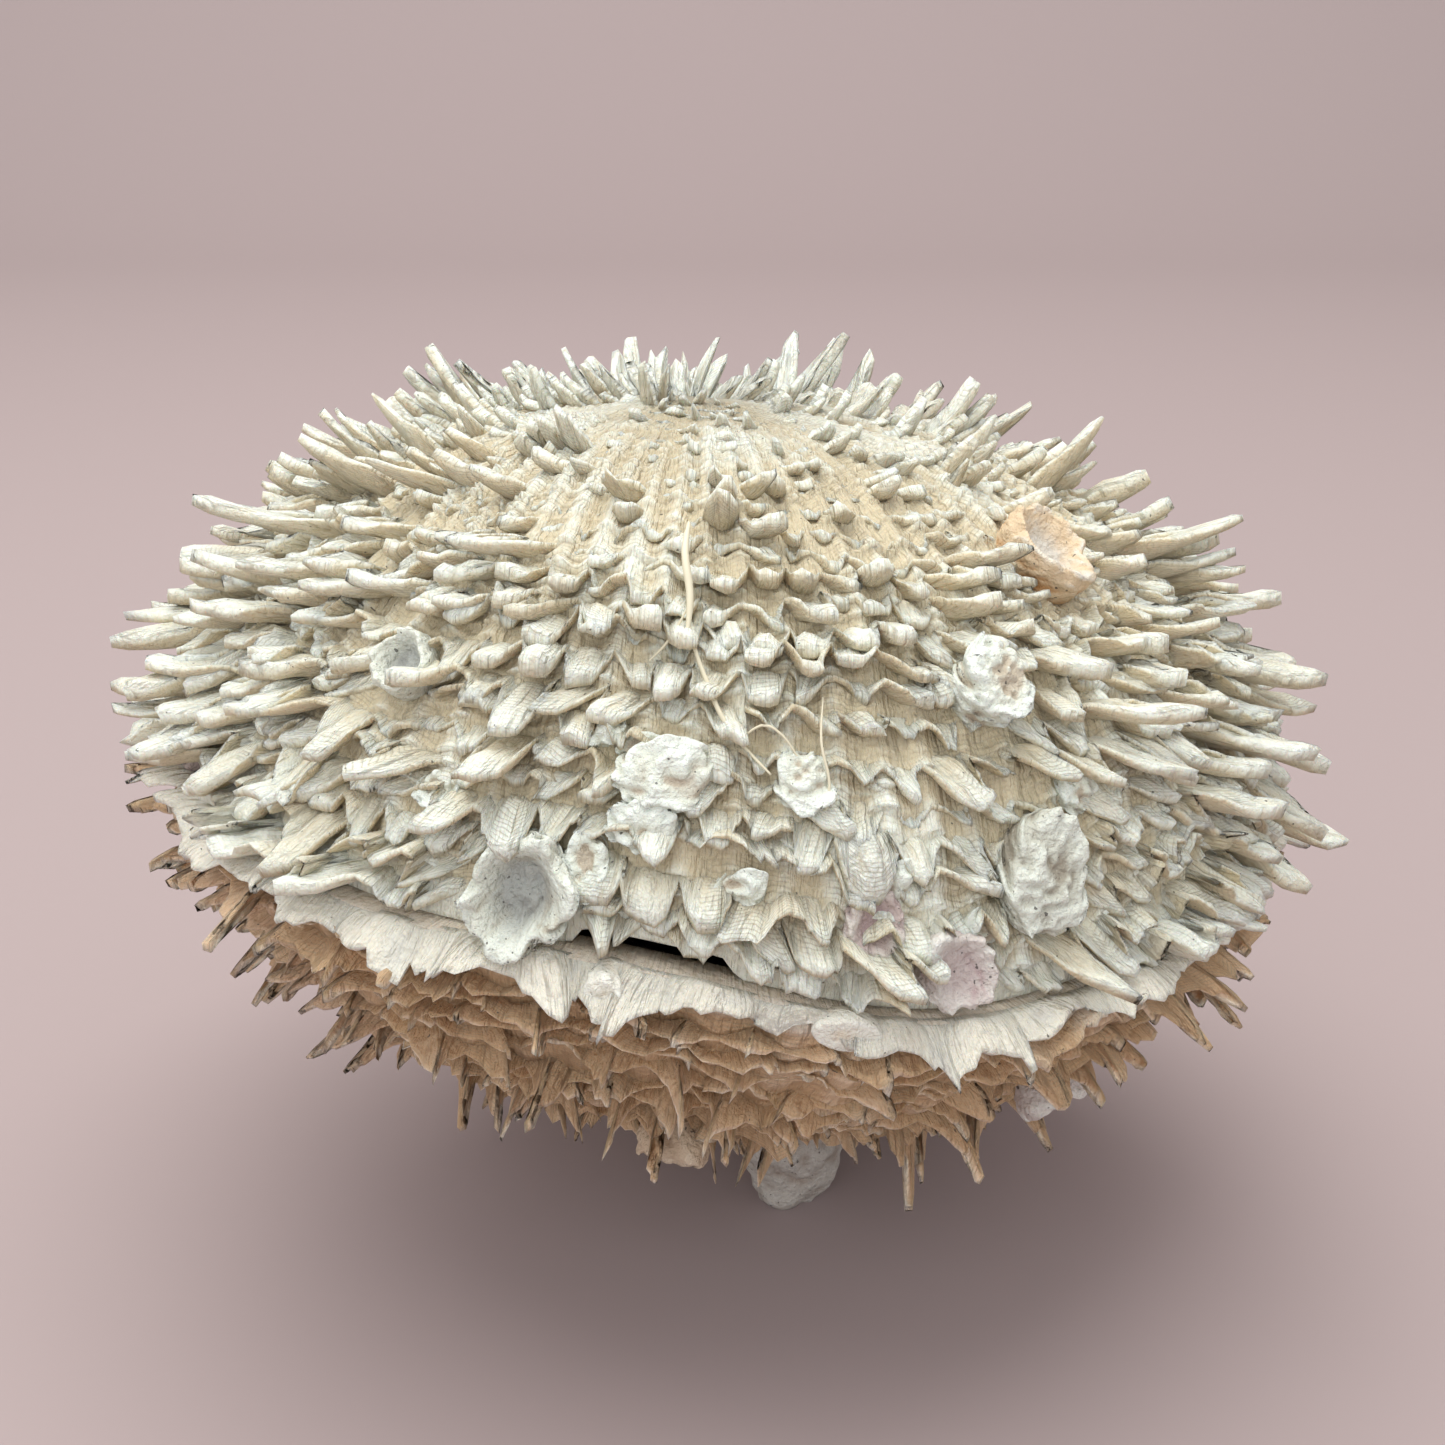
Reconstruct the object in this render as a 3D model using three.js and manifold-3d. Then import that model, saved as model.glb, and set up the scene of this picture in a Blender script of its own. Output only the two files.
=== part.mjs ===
// A closed thorny oyster: two spiny valves that still meet all round, with the small
// shells and crusts that grew on them. Millimetres, +Z up. The origin is the middle of the
// flat scar that held the lower valve to its rock, and the free margin faces -Y.

import * as THREE from 'three';
import { mergeVertices } from 'three/addons/utils/BufferGeometryUtils.js';
import Module from 'manifold-3d';

const wasm = await Module();
wasm.setup();

// The shell's body, without its spines
const HALF_WIDTH = 65; // left to right, where the valves meet
const HALF_DEPTH = 57.5; // free margin to hinge
const DOME_HEIGHT = 45; // upper valve above the seam
const BOWL_DEPTH = 40; // lower valve below the seam, before its beak
const BEAK = { deeper: 44, middle: 6, halfWidth: 32, from: -4, to: 42 }; // towards the hinge
const HOLLOW_BEAK = 0.35; // share of the beak's extra depth that is hollow
const WALL = 5.5;
const LIP = 2.5; // reach of the lower valve past the upper
const SEAM_GAP = 0.4;

// How the shell sits on its scar
const SEAM_HEIGHT = 60; // middle of the seam above the floor
const SCAR_BEHIND = 30; // the scar's middle lies this far behind the seam's middle
const ROLL = 6.5; // degrees, right side down
const PITCH = 2; // degrees, free margin up

// Knob of old reef under the front, from the middle of the seam
const KNOB = { x: 9, y: -8 };

// Gape left between the valves at the front
const GAPE = { angle: -97, long: 14, high: 2, deep: 14 };

// Growth of the spines: ribs run from the beak and rows follow the margin
const UPPER = { ribs: 36, rows: 15, hollowRings: 4, salt: 3 };
const LOWER = { ribs: 38, rows: 10, hollowRings: 4, salt: 11 };
const SCALLOP = 0.9; // wave of the two rims, from rib to rib
const FLOOR_CLEARANCE = 1.5;
const SEAM_CLEARANCE = 1.2;
const FIT = 0.35; // gap between a crust and the valve it grew on

const degrees = THREE.MathUtils.degToRad;
const smooth = THREE.MathUtils.smoothstep;

// A repeatable number from 0 to 1 for each rib and row.
function chance(rib, row, salt) {
  const wave = Math.sin(rib * 12.9898 + row * 78.233 + salt * 37.719) * 43758.5453;
  return wave - Math.floor(wave);
}

// Reach of the margin at an angle, as a share of the plain ellipse: a few low lobes, and
// drawn in at the back, where the hinge is nearly straight.
function marginShare(angle) {
  const turn = Math.atan2(Math.sin(angle - Math.PI / 2), Math.cos(angle - Math.PI / 2));
  const hinge = 0.09 * Math.exp(-((turn / degrees(28)) ** 2));
  return 1 + 0.012 * Math.sin(5 * angle + 0.7) + 0.008 * Math.sin(9 * angle + 2) - hinge;
}

// The seam dips at the right of the front, as the margin does there.
function seamDip(angle) {
  const turn = Math.atan2(Math.sin(angle - degrees(-68)), Math.cos(angle - degrees(-68)));
  return -0.4 - 3.6 * Math.exp(-((turn / degrees(18)) ** 2));
}

// Each valve grows from its beak, a point in plan, out to the margin. grow turns equal
// steps along the surface into the share of the way from beak to margin in plan.
const upper = {
  side: 1, reach: 0, beak: [-8, 16], grow: 1.6, power: 2.6, round: 0.6, height: DOME_HEIGHT,
  spines: { front: 6.5, flank: 1.5, back: 2.5 },
  lean: { young: 70, front: 34, flank: 52 }, plan: UPPER,
};
const lower = {
  side: -1, reach: LIP, beak: [-3, 12], grow: 1.4, power: 2.2, round: 0.72, height: BOWL_DEPTH,
  spines: { front: 5.5, flank: 0.5, back: 2 },
  lean: { young: 90, front: 72, flank: 80 }, plan: LOWER,
};

const tilt = new THREE.Matrix4().makeRotationX(degrees(-PITCH))
  .multiply(new THREE.Matrix4().makeRotationY(degrees(ROLL)));
const seat = new THREE.Matrix4().makeTranslation(0, -SCAR_BEHIND, SEAM_HEIGHT).multiply(tilt);

// A point of a valve's surface at an angle round it and a growth from 0 to 1, inset from
// the outside by part or all of the wall.
function surfacePoint(valve, angle, growth, inset = 0) {
  const wide = HALF_WIDTH + valve.reach - inset;
  const deep = HALF_DEPTH + valve.reach - inset;
  const share = 1 - (1 - growth) ** valve.grow;
  const edge = marginShare(angle);
  const [bx, by] = valve.beak;
  const x = bx + (wide * Math.cos(angle) * edge - bx) * share;
  const y = by + (deep * Math.sin(angle) * edge - by) * share;
  const about = Math.atan2(y / deep, x / wide);
  const rho = Math.min(1, Math.hypot(x / wide, y / deep) / marginShare(about));
  let rise = (valve.height - inset) * (1 - rho ** valve.power) ** valve.round;
  if (valve === lower) {
    const beak = BEAK.deeper * smooth(y, BEAK.from, BEAK.to) * (inset > 0 ? HOLLOW_BEAK : 1);
    const beside = Math.abs(x - BEAK.middle) / BEAK.halfWidth;
    rise += beak * Math.exp(-(beside ** 2.6)) * (1 - rho ** 8) ** 0.7;
  }
  const gap = valve.side * SEAM_GAP / 2;
  const z = valve.side * rise + gap + seamDip(angle) * share ** 6;
  return new THREE.Vector3(x, y, z).applyMatrix4(seat);
}

// Where a spine or a crust stands: the point, the way the shell grew there, the way
// across, and the way out.
function site(valve, angle, growth) {
  const step = 0.004;
  const grown = Math.min(growth, 1 - 2 * step);
  const point = surfacePoint(valve, angle, growth);
  const along = surfacePoint(valve, angle, grown + step)
    .sub(surfacePoint(valve, angle, grown - step)).normalize();
  const round = surfacePoint(valve, angle + step, grown)
    .sub(surfacePoint(valve, angle - step, grown));
  const out = new THREE.Vector3().crossVectors(along, round).normalize()
    .multiplyScalar(valve.side);
  const across = new THREE.Vector3().crossVectors(out, along).normalize();
  return { point, along, across, out };
}

// A closed three.js geometry as a solid that can be joined and cut. Triangles that a pole
// folds flat are dropped, and a form that its bending mirrored is turned right side out.
function solid(geometry) {
  let bare = geometry.clone();
  bare.deleteAttribute('normal');
  bare.deleteAttribute('uv');
  bare = mergeVertices(bare, 1e-4);
  const corners = [];
  let volume = 0;
  const at = [0, 1, 2].map(() => new THREE.Vector3());
  for (let i = 0; i < bare.index.count; i += 3) {
    const [a, b, c] = [0, 1, 2].map((k) => bare.index.getX(i + k));
    if (a === b || b === c || c === a) continue;
    corners.push(a, b, c);
    [a, b, c].forEach((k, n) => at[n].fromBufferAttribute(bare.attributes.position, k));
    volume += at[0].dot(at[1].clone().cross(at[2]));
  }
  if (volume < 0) corners.reverse();
  return new wasm.Manifold(new wasm.Mesh({
    numProp: 3,
    vertProperties: new Float32Array(bare.attributes.position.array),
    triVerts: new Uint32Array(corners),
  }));
}

// A mesh for a node from a solid.
function meshOf(name, shape, colour, roughness) {
  const { vertProperties, triVerts } = shape.getMesh();
  const geometry = new THREE.BufferGeometry();
  geometry.setAttribute('position', new THREE.BufferAttribute(vertProperties, 3));
  geometry.setIndex(new THREE.BufferAttribute(triVerts, 1));
  const material = new THREE.MeshStandardMaterial({ color: colour, roughness, metalness: 0 });
  const mesh = new THREE.Mesh(geometry, material);
  mesh.name = name;
  return mesh;
}

function moveVertices(geometry, place) {
  const at = geometry.attributes.position;
  const vertex = new THREE.Vector3();
  for (let i = 0; i < at.count; i += 1) {
    vertex.fromBufferAttribute(at, i);
    const moved = place(vertex);
    at.setXYZ(i, moved.x, moved.y, moved.z);
  }
  return geometry;
}

// Length of an ordinary spine: short at the beak and on the front, longer on the flanks
// and at the back.
function spineLength(valve, angle, growth) {
  const flank = valve.spines.flank * Math.cos(angle) ** 2;
  const behind = valve.spines.back * Math.max(0, Math.sin(angle));
  const young = 0.5 + 0.5 * smooth(growth, 0.08, 0.6);
  return (valve.spines.front + flank + behind) * young;
}

// Angle of a spine above the way of growth.
function spineLean(valve, angle, growth) {
  const flank = Math.max(Math.cos(angle) ** 2, Math.sin(angle));
  const grown = THREE.MathUtils.lerp(valve.lean.front, valve.lean.flank, flank);
  return THREE.MathUtils.lerp(valve.lean.young, grown, smooth(growth, 0.15, 0.6));
}

// Spines that stand out: angle round the valve in degrees, growth, length, lean above the
// way of growth and heading to its side.
upper.heroes = [
  { angle: -168, growth: 0.9, long: 14, lean: 60, heading: -20 },
  { angle: -157, growth: 0.83, long: 15, lean: 45 },
  { angle: -166, growth: 0.78, long: 18, lean: 50 },
  { angle: -170, growth: 0.7, long: 17, lean: 55 },
  { angle: -176, growth: 0.58, long: 11, lean: 70 },
  { angle: 176, growth: 0.5, long: 9, lean: 70 },
  { angle: 160, growth: 0.45, long: 10, lean: 70 },
  { angle: 105, growth: 0.45, long: 10, lean: 70 },
  { angle: 60, growth: 0.4, long: 10, lean: 75 },
  { angle: 40, growth: 0.4, long: 15, lean: 66, heading: 25 },
  { angle: -2, growth: 0.5, long: 11, lean: 60 },
  { angle: -12, growth: 0.55, long: 12, lean: 55 },
  { angle: -6, growth: 0.66, long: 15, lean: 58, heading: 15 },
  { angle: -10, growth: 0.74, long: 18, lean: 52, heading: 10 },
  { angle: -16, growth: 0.8, long: 14, lean: 50 },
  { angle: -18, growth: 0.88, long: 17, lean: 50 },
  { angle: -20, growth: 0.95, long: 16, lean: 48 },
  { angle: -94, growth: 0.47, long: 10, lean: 75 },
  { angle: -80, growth: 0.84, long: 11, lean: 32 },
];
lower.heroes = [
  { angle: -128, growth: 0.95, long: 10, lean: 88 },
  { angle: -137, growth: 0.95, long: 10, lean: 88 },
  { angle: -146, growth: 0.95, long: 9, lean: 90 },
  { angle: -156, growth: 0.95, long: 8, lean: 92 },
  { angle: -166, growth: 0.95, long: 7, lean: 92 },
  { angle: -105, growth: 0.75, long: 10, lean: 70 },
  { angle: -99, growth: 0.7, long: 10, lean: 70 },
  { angle: -91, growth: 0.6, long: 14, lean: 66 },
  { angle: -60, growth: 0.74, long: 12, lean: 62 },
  { angle: -42, growth: 0.8, long: 9, lean: 75 },
  { angle: -38, growth: 0.95, long: 10, lean: 85 },
];

// The small shells and crusts on the valves. Each is a low turned form, drawn out to its
// own width and length; hollow is the depth of a cup, and lobes wave its rim.
const CRUSTS = [
  { name: 'cup_oyster_spat', valve: upper, angle: -109, growth: 0.95, wide: 12.5, long: 15,
    high: 4, hollow: 2.6, lobes: 7, colour: 0xc9c3bd },
  { name: 'small_cup_spat', valve: upper, angle: -126, growth: 0.74, wide: 7, long: 7.5,
    high: 3.5, hollow: 2, lobes: 5, colour: 0xd6cfc6 },
  { name: 'coral_knob', valve: upper, angle: -63, growth: 0.685, wide: 7.5, long: 8,
    high: 6, hollow: 0, lobes: 4, colour: 0xdcd8cf },
  { name: 'chalky_crust', valve: upper, angle: -97, growth: 0.81, wide: 10, long: 7,
    high: 3.5, hollow: 0, lobes: 5, colour: 0xe2ded6 },
  { name: 'grey_crust', valve: upper, angle: -60, growth: 0.875, wide: 9.5, long: 13,
    high: 4.5, hollow: 0, lobes: 6, colour: 0xc8c2bf },
  { name: 'pink_shell_scrap', valve: upper, angle: -69, growth: 0.955, wide: 8, long: 9,
    high: 3.5, hollow: 1.6, lobes: 4, colour: 0xcbb3b4 },
  { name: 'orange_cup_flake', valve: upper, angle: -44, growth: 0.53, wide: 10, long: 12,
    high: 4.5, hollow: 2.8, lobes: 5, colour: 0xd9b58a },
  { name: 'reddish_crust', valve: lower, angle: -45, growth: 0.72, wide: 8, long: 9,
    high: 5, hollow: 2, lobes: 4, colour: 0xb99d94 },
];
const CRUST_ROOT = 1.6; // depth grown into the valve
const CRUST_FACETS = 12;

// The turned form of a crust, or, with room added, of the pocket that holds it.
function crustShape(crust, room = 0) {
  const spot = site(crust.valve, degrees(crust.angle), crust.growth);
  const top = crust.high + room;
  const rim = 0.5 + room / crust.wide;
  const inside = room > 0 ? 0 : crust.hollow;
  const profile = [
    new THREE.Vector2(0, -CRUST_ROOT - room),
    new THREE.Vector2(rim * 0.7, -CRUST_ROOT - room),
    new THREE.Vector2(rim, top * 0.45),
    new THREE.Vector2(rim * 0.86, top),
    new THREE.Vector2(rim * 0.5, inside > 0 ? top - inside : top * 1.05),
    new THREE.Vector2(0, top - inside),
  ];
  const lathe = new THREE.LatheGeometry(profile, CRUST_FACETS);
  return moveVertices(lathe, (v) => {
    const angle = Math.atan2(v.z, v.x);
    const wave = 1 + 0.1 * Math.sin(crust.lobes * angle + crust.angle);
    return spot.point.clone()
      .addScaledVector(spot.across, v.x * crust.wide * wave)
      .addScaledVector(spot.along, v.z * crust.long * wave)
      .addScaledVector(spot.out, v.y);
  });
}

// Whether a spine at a place, reaching some way along the surface, would meet a crust.
function meetsCrust(valve, place, reach) {
  const tip = place.point.clone().addScaledVector(place.along, reach);
  return CRUSTS.some((crust) => {
    if (crust.valve !== valve) return false;
    const { point } = site(valve, degrees(crust.angle), crust.growth);
    const clear = Math.max(crust.wide, crust.long) / 2 + 2;
    return Math.min(place.point.distanceTo(point), tip.distanceTo(point)) < clear;
  });
}

const unseat = seat.clone().invert();

// Height of a point above the seam, or its depth below it for the lower valve.
function seamHeight(valve, angle, point) {
  return valve.side * (point.clone().applyMatrix4(unseat).z - seamDip(angle));
}

// The tip of a spine. One that would reach the other valve stands up more until it is
// clear, and one that would still reach it, the floor or a crust isn't grown.
function spineTip(valve, spine) {
  const place = site(valve, spine.angle, spine.growth);
  const turn = degrees(spine.heading ?? 0);
  const forward = place.along.clone().multiplyScalar(Math.cos(turn))
    .addScaledVector(place.across, Math.sin(turn));
  for (let { lean } = spine; lean <= 110; lean += 6) {
    const reach = spine.long * Math.cos(degrees(lean));
    const tip = place.point.clone().addScaledVector(forward, reach)
      .addScaledVector(place.out, spine.long * Math.sin(degrees(lean)));
    if (seamHeight(valve, spine.angle, tip) < SEAM_CLEARANCE) continue;
    if (tip.z < FLOOR_CLEARANCE || meetsCrust(valve, place, reach)) return null;
    return tip;
  }
  return null;
}

// Angle and growth of a point of the body's net, nudged so that ribs and rows look grown.
function netPlace(valve, column, ring) {
  const { ribs, rows, salt } = valve.plan;
  const inside = ring > 0 && ring < 2 * rows;
  const nudge = (n) => (inside ? 0.6 * (chance(column, ring, salt + n) - 0.5) : 0);
  return {
    angle: Math.PI * (column + nudge(1)) / ribs,
    growth: (ring + nudge(2)) / (2 * rows),
  };
}

// Every spine of a valve by its place in the net. Spines stand at every other point of
// every other ring, each row half a rib on from the last, and thin out to the beak.
function grownSpines(valve) {
  const { ribs, rows, salt } = valve.plan;
  const spines = new Map();
  for (let row = 0; row < rows; row += 1) {
    for (let rib = 0; rib < ribs; rib += 1) {
      const [column, ring] = [2 * rib + (row % 2), 2 * row + 1];
      const { angle, growth } = netPlace(valve, column, ring);
      const draw = (n) => chance(rib, row, salt + n);
      const crowded = growth < 0.12 || (growth < 0.3 && rib % 2 === 1);
      if (crowded || draw(3) < 0.08) continue;
      const long = spineLength(valve, angle, growth) * (0.7 + 0.7 * draw(4));
      spines.set(`${column},${ring}`, { angle, growth, long, lean: spineLean(valve, angle, growth) });
    }
  }
  for (const hero of valve.heroes) {
    const row = Math.min(rows - 1, Math.max(0, Math.round(hero.growth * rows - 0.5)));
    const rib = Math.round((degrees(hero.angle) * ribs / Math.PI - (row % 2)) / 2);
    const column = (2 * rib + (row % 2) + 2 * ribs) % (2 * ribs);
    const place = netPlace(valve, column, 2 * row + 1);
    spines.set(`${column},${2 * row + 1}`, { ...hero, ...place });
  }
  return spines;
}

// The hollow, spiny body of a valve: a lathe whose radius stands for growth and whose
// height says how far in from the outside a ring lies, bent to the valve's own form, with
// the points of the net that carry spines drawn out to their tips.
function valveBody(valve) {
  const { ribs, rows, hollowRings } = valve.plan;
  const spines = grownSpines(valve);
  const rings = [];
  for (let i = 0; i <= 2 * rows; i += 1) rings.push(new THREE.Vector2(i / (2 * rows), 0));
  for (let i = hollowRings; i >= 0; i -= 1) rings.push(new THREE.Vector2(i / hollowRings, WALL));
  const lathe = new THREE.LatheGeometry(rings, 2 * ribs);
  return solid(moveVertices(lathe, (v) => {
    const radius = Math.hypot(v.x, v.z);
    const column = (Math.round(Math.atan2(v.z, v.x) * ribs / Math.PI) + 2 * ribs) % (2 * ribs);
    const angle = Math.PI * column / ribs;
    if (v.y > 0) return surfacePoint(valve, angle, Math.min(1, radius), WALL);
    const ring = Math.round(radius * 2 * rows);
    const spine = spines.get(`${column},${ring}`);
    const tip = spine && spineTip(valve, spine);
    if (tip) return tip;
    const place = netPlace(valve, column, ring);
    const scallop = ring === 2 * rows && column % 2 === 1 ? SCALLOP : 0;
    return surfacePoint(valve, place.angle, place.growth, scallop);
  }));
}

// The knob of old reef at the front of the lower valve that reaches the floor.
function reefKnob() {
  const profile = [
    new THREE.Vector2(0, -3),
    new THREE.Vector2(4, -3),
    new THREE.Vector2(5.5, 4),
    new THREE.Vector2(7.5, 12),
    new THREE.Vector2(7.5, 18),
    new THREE.Vector2(0, 24.5),
  ];
  const lathe = new THREE.LatheGeometry(profile, 9);
  lathe.rotateX(Math.PI / 2);
  lathe.translate(KNOB.x, KNOB.y - SCAR_BEHIND, 0);
  return solid(lathe);
}

function block(wide, deep, high, place) {
  const box = new THREE.BoxGeometry(wide, deep, high);
  return solid(box.applyMatrix4(place));
}

const floor = block(200, 200, 40, new THREE.Matrix4().makeTranslation(0, 0, -20));
const gapeSpot = surfacePoint(upper, degrees(GAPE.angle), 1);
const gape = block(GAPE.long, GAPE.deep, GAPE.high,
  new THREE.Matrix4().makeTranslation(gapeSpot.x, gapeSpot.y, gapeSpot.z).multiply(tilt));

// The pockets that the crusts sit in, cut from both valves.
const pockets = wasm.Manifold.union(CRUSTS.map((crust) => solid(crustShape(crust, FIT))));

const upperSolid = valveBody(upper).subtract(gape).subtract(pockets);
const lowerSolid = valveBody(lower).add(reefKnob()).subtract(floor).subtract(pockets);
const group = new THREE.Group();
group.add(meshOf('upper_valve', upperSolid, 0xd9d5c8, 0.75));
group.add(meshOf('lower_valve', lowerSolid, 0xcfc3b0, 0.8));
for (const crust of CRUSTS) {
  group.add(meshOf(crust.name, solid(crustShape(crust)), crust.colour, 0.8));
}

export default group;
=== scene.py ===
import bpy
import numpy as np
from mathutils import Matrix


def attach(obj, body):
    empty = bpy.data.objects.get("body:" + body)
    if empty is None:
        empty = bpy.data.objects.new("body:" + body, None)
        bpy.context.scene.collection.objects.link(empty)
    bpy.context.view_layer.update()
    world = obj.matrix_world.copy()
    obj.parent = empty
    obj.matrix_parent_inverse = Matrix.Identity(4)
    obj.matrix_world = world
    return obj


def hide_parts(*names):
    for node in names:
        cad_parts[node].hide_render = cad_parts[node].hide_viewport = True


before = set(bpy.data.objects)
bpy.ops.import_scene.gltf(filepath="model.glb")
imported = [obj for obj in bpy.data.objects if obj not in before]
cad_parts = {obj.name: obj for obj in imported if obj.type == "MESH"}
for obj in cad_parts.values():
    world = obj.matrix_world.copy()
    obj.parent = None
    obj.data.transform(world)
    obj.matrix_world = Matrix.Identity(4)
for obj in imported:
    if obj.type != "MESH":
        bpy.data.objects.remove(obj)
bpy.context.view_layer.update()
MM = 0.001


# Studio. The shell stands on a plain pale floor that curves up into a wall, under a broad
# soft light almost overhead and a weaker one in front. The camera looks down on the free
# margin with a normal lens, as in the photograph, which is 1445 pixels square.
PICTURE = 1445
SEAM_MIDDLE = np.array([0.0, -30.0, 60.0])
CAMERA_BACK = 258.0
CAMERA_UP = np.radians(23.0)
LENS, SENSOR = 50.0, 36.0
SEAM_PIXEL = (724.0, 766.0)
LIGHT_AIM = (0, -0.03, 0.06)
SKY_COLOUR, SKY_STRENGTH = (0.92, 0.93, 0.93), 0.86


def add_camera():
    """A camera on the arc at CAMERA_UP above the seam's middle, aimed at it, with the lens
    shifted so that the seam's middle falls on its pixel of the photograph."""
    data = bpy.data.cameras.new("camera")
    data.lens, data.sensor_width = LENS, SENSOR
    data.shift_x = 0.5 - SEAM_PIXEL[0] / PICTURE
    data.shift_y = SEAM_PIXEL[1] / PICTURE - 0.5
    camera = bpy.data.objects.new("camera", data)
    bpy.context.scene.collection.objects.link(camera)
    away = np.array([0.0, -np.cos(CAMERA_UP), np.sin(CAMERA_UP)])
    camera.location = (SEAM_MIDDLE + CAMERA_BACK * away) * MM
    camera.rotation_euler = (np.pi / 2 - CAMERA_UP, 0, 0)
    bpy.context.scene.camera = camera


def add_area(name, place, size, watts, colour):
    """A square area light at a place, turned so that its face looks at LIGHT_AIM."""
    data = bpy.data.lights.new(name, "AREA")
    data.size, data.energy, data.color = size, watts, colour
    lamp = bpy.data.objects.new(name, data)
    bpy.context.scene.collection.objects.link(lamp)
    lamp.location = place
    way = np.array(LIGHT_AIM) - np.array(place)
    lamp.rotation_euler = (
        np.arctan2(np.hypot(way[0], way[1]), -way[2]), 0, np.arctan2(way[0], -way[1]) + np.pi)


add_camera()
add_area("window", place=(-0.12, 0.08, 1.15), size=1.2, watts=15.0, colour=(1.0, 1.0, 0.96))
add_area("front_fill", place=(-0.3, -1.1, 0.75), size=1.0, watts=4.6, colour=(0.98, 0.99, 1.0))
world = bpy.data.worlds.new("studio")
bpy.context.scene.world = world
world.use_nodes = True
sky = world.node_tree.nodes["Background"]
sky.inputs["Color"].default_value = (*SKY_COLOUR, 1)
sky.inputs["Strength"].default_value = SKY_STRENGTH
bpy.context.scene.view_settings.view_transform = "Standard"


# Shader maths. Sockets are wrapped so that an expression on them adds its Math nodes, and
# every other node comes from one method. Outputs go by their place on a node. Of the light
# that passes under the surface, red goes deepest; the depth is in metres.
OBJECT_OUT, FACTOR_OUT, COLOUR_OUT = 3, 2, 2
NOISE_ROUGHNESS = 0.55
LIGHT_REACH, LIGHT_DEPTH = (1.0, 0.7, 0.45), 0.0015


class Wire:
    """A socket of a node tree on which plain arithmetic can be written."""

    def __init__(self, tree, socket):
        self.tree, self.socket = tree, socket

    def _math(self, operation, *values):
        node = self.tree.nodes.new("ShaderNodeMath")
        node.operation = operation
        for slot, value in zip(node.inputs, values):
            if isinstance(value, Wire):
                self.tree.links.new(value.socket, slot)
            else:
                slot.default_value = value
        return Wire(self.tree, node.outputs[0])

    def __add__(self, other):
        return self._math("ADD", self, other)

    def __radd__(self, other):
        return self._math("ADD", other, self)

    def __sub__(self, other):
        return self._math("SUBTRACT", self, other)

    def __rsub__(self, other):
        return self._math("SUBTRACT", other, self)

    def __mul__(self, other):
        return self._math("MULTIPLY", self, other)

    def __rmul__(self, other):
        return self._math("MULTIPLY", other, self)

    def part(self):
        """What is left after the whole number."""
        return self._math("FRACT", self)

    def step(self, low, high):
        """0 below low, 1 above high, smooth between."""
        node = self.tree.nodes.new("ShaderNodeMapRange")
        node.interpolation_type = "SMOOTHSTEP"
        self.tree.links.new(self.socket, node.inputs["Value"])
        node.inputs["From Min"].default_value, node.inputs["From Max"].default_value = low, high
        return Wire(self.tree, node.outputs["Result"])


class Finish:
    """A material being built: its node tree, with one method that adds any node."""

    def __init__(self, name):
        self.material = bpy.data.materials.new(name)
        self.material.use_nodes = True
        self.tree = self.material.node_tree
        self.shader = self.tree.nodes["Principled BSDF"]

    def node(self, kind, settings=None, values=None, out=0):
        """Adds a node of a kind, sets its settings, fills or links its sockets by name, and
        gives back one of its outputs."""
        node = self.tree.nodes.new("ShaderNode" + kind)
        for name, value in (settings or {}).items():
            setattr(node, name, value)
        for name, value in (values or {}).items():
            if isinstance(value, Wire):
                self.tree.links.new(value.socket, node.inputs[name])
            else:
                node.inputs[name].default_value = value
        return Wire(self.tree, node.outputs[out])

    def attribute(self, name):
        return self.node("Attribute", {"attribute_name": name}, out=FACTOR_OUT)

    def noise(self, scale, detail=3.0, where=None, stretch=None):
        """Noise over the object's own coordinates, scale in lumps a metre, or over the
        coordinates of where, stretched."""
        place = where or self.node("TexCoord", out=OBJECT_OUT)
        if stretch:
            place = self.node("Mapping", None, {"Vector": place, "Scale": stretch})
        return self.node("TexNoise", None, {
            "Vector": place, "Scale": scale, "Detail": detail, "Roughness": NOISE_ROUGHNESS})

    def blend(self, factor, first, second):
        """Mixes two colours, given as linear red, green and blue or as wires. The node's
        sockets are numbered, because those for numbers, vectors and colours share names."""
        node = self.tree.nodes.new("ShaderNodeMix")
        node.data_type = "RGBA"
        for slot, value in ((0, factor), (6, first), (7, second)):
            if isinstance(value, Wire):
                self.tree.links.new(value.socket, node.inputs[slot])
            elif slot == 0:
                node.inputs[slot].default_value = value
            else:
                node.inputs[slot].default_value = (*value, 1.0)
        return Wire(self.tree, node.outputs[COLOUR_OUT])

    def surface(self, colour, roughness, height, depth, soft):
        """Joins the finished colour, roughness and bump to the shader. depth is the bump's
        height in metres, and soft the share of light that passes under the surface."""
        bump = self.node("Bump", None, {"Height": height, "Distance": depth, "Strength": 1.0})
        self.tree.links.new(colour.socket, self.shader.inputs["Base Color"])
        self.tree.links.new(roughness.socket, self.shader.inputs["Roughness"])
        self.tree.links.new(bump.socket, self.shader.inputs["Normal"])
        self.shader.inputs["Subsurface Weight"].default_value = soft
        self.shader.inputs["Subsurface Radius"].default_value = LIGHT_REACH
        self.shader.inputs["Subsurface Scale"].default_value = LIGHT_DEPTH
        return self.material


# Floor. A pale rose sweep, lit only by the studio. Its sizes are in metres.
FLOOR_COLOUR, FLOOR_ROUGHNESS = (0.375, 0.30, 0.30), 0.7
SWEEP = dict(front=-1.6, back=0.75, bend=0.45, top=2.2, half=2.5)


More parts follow.
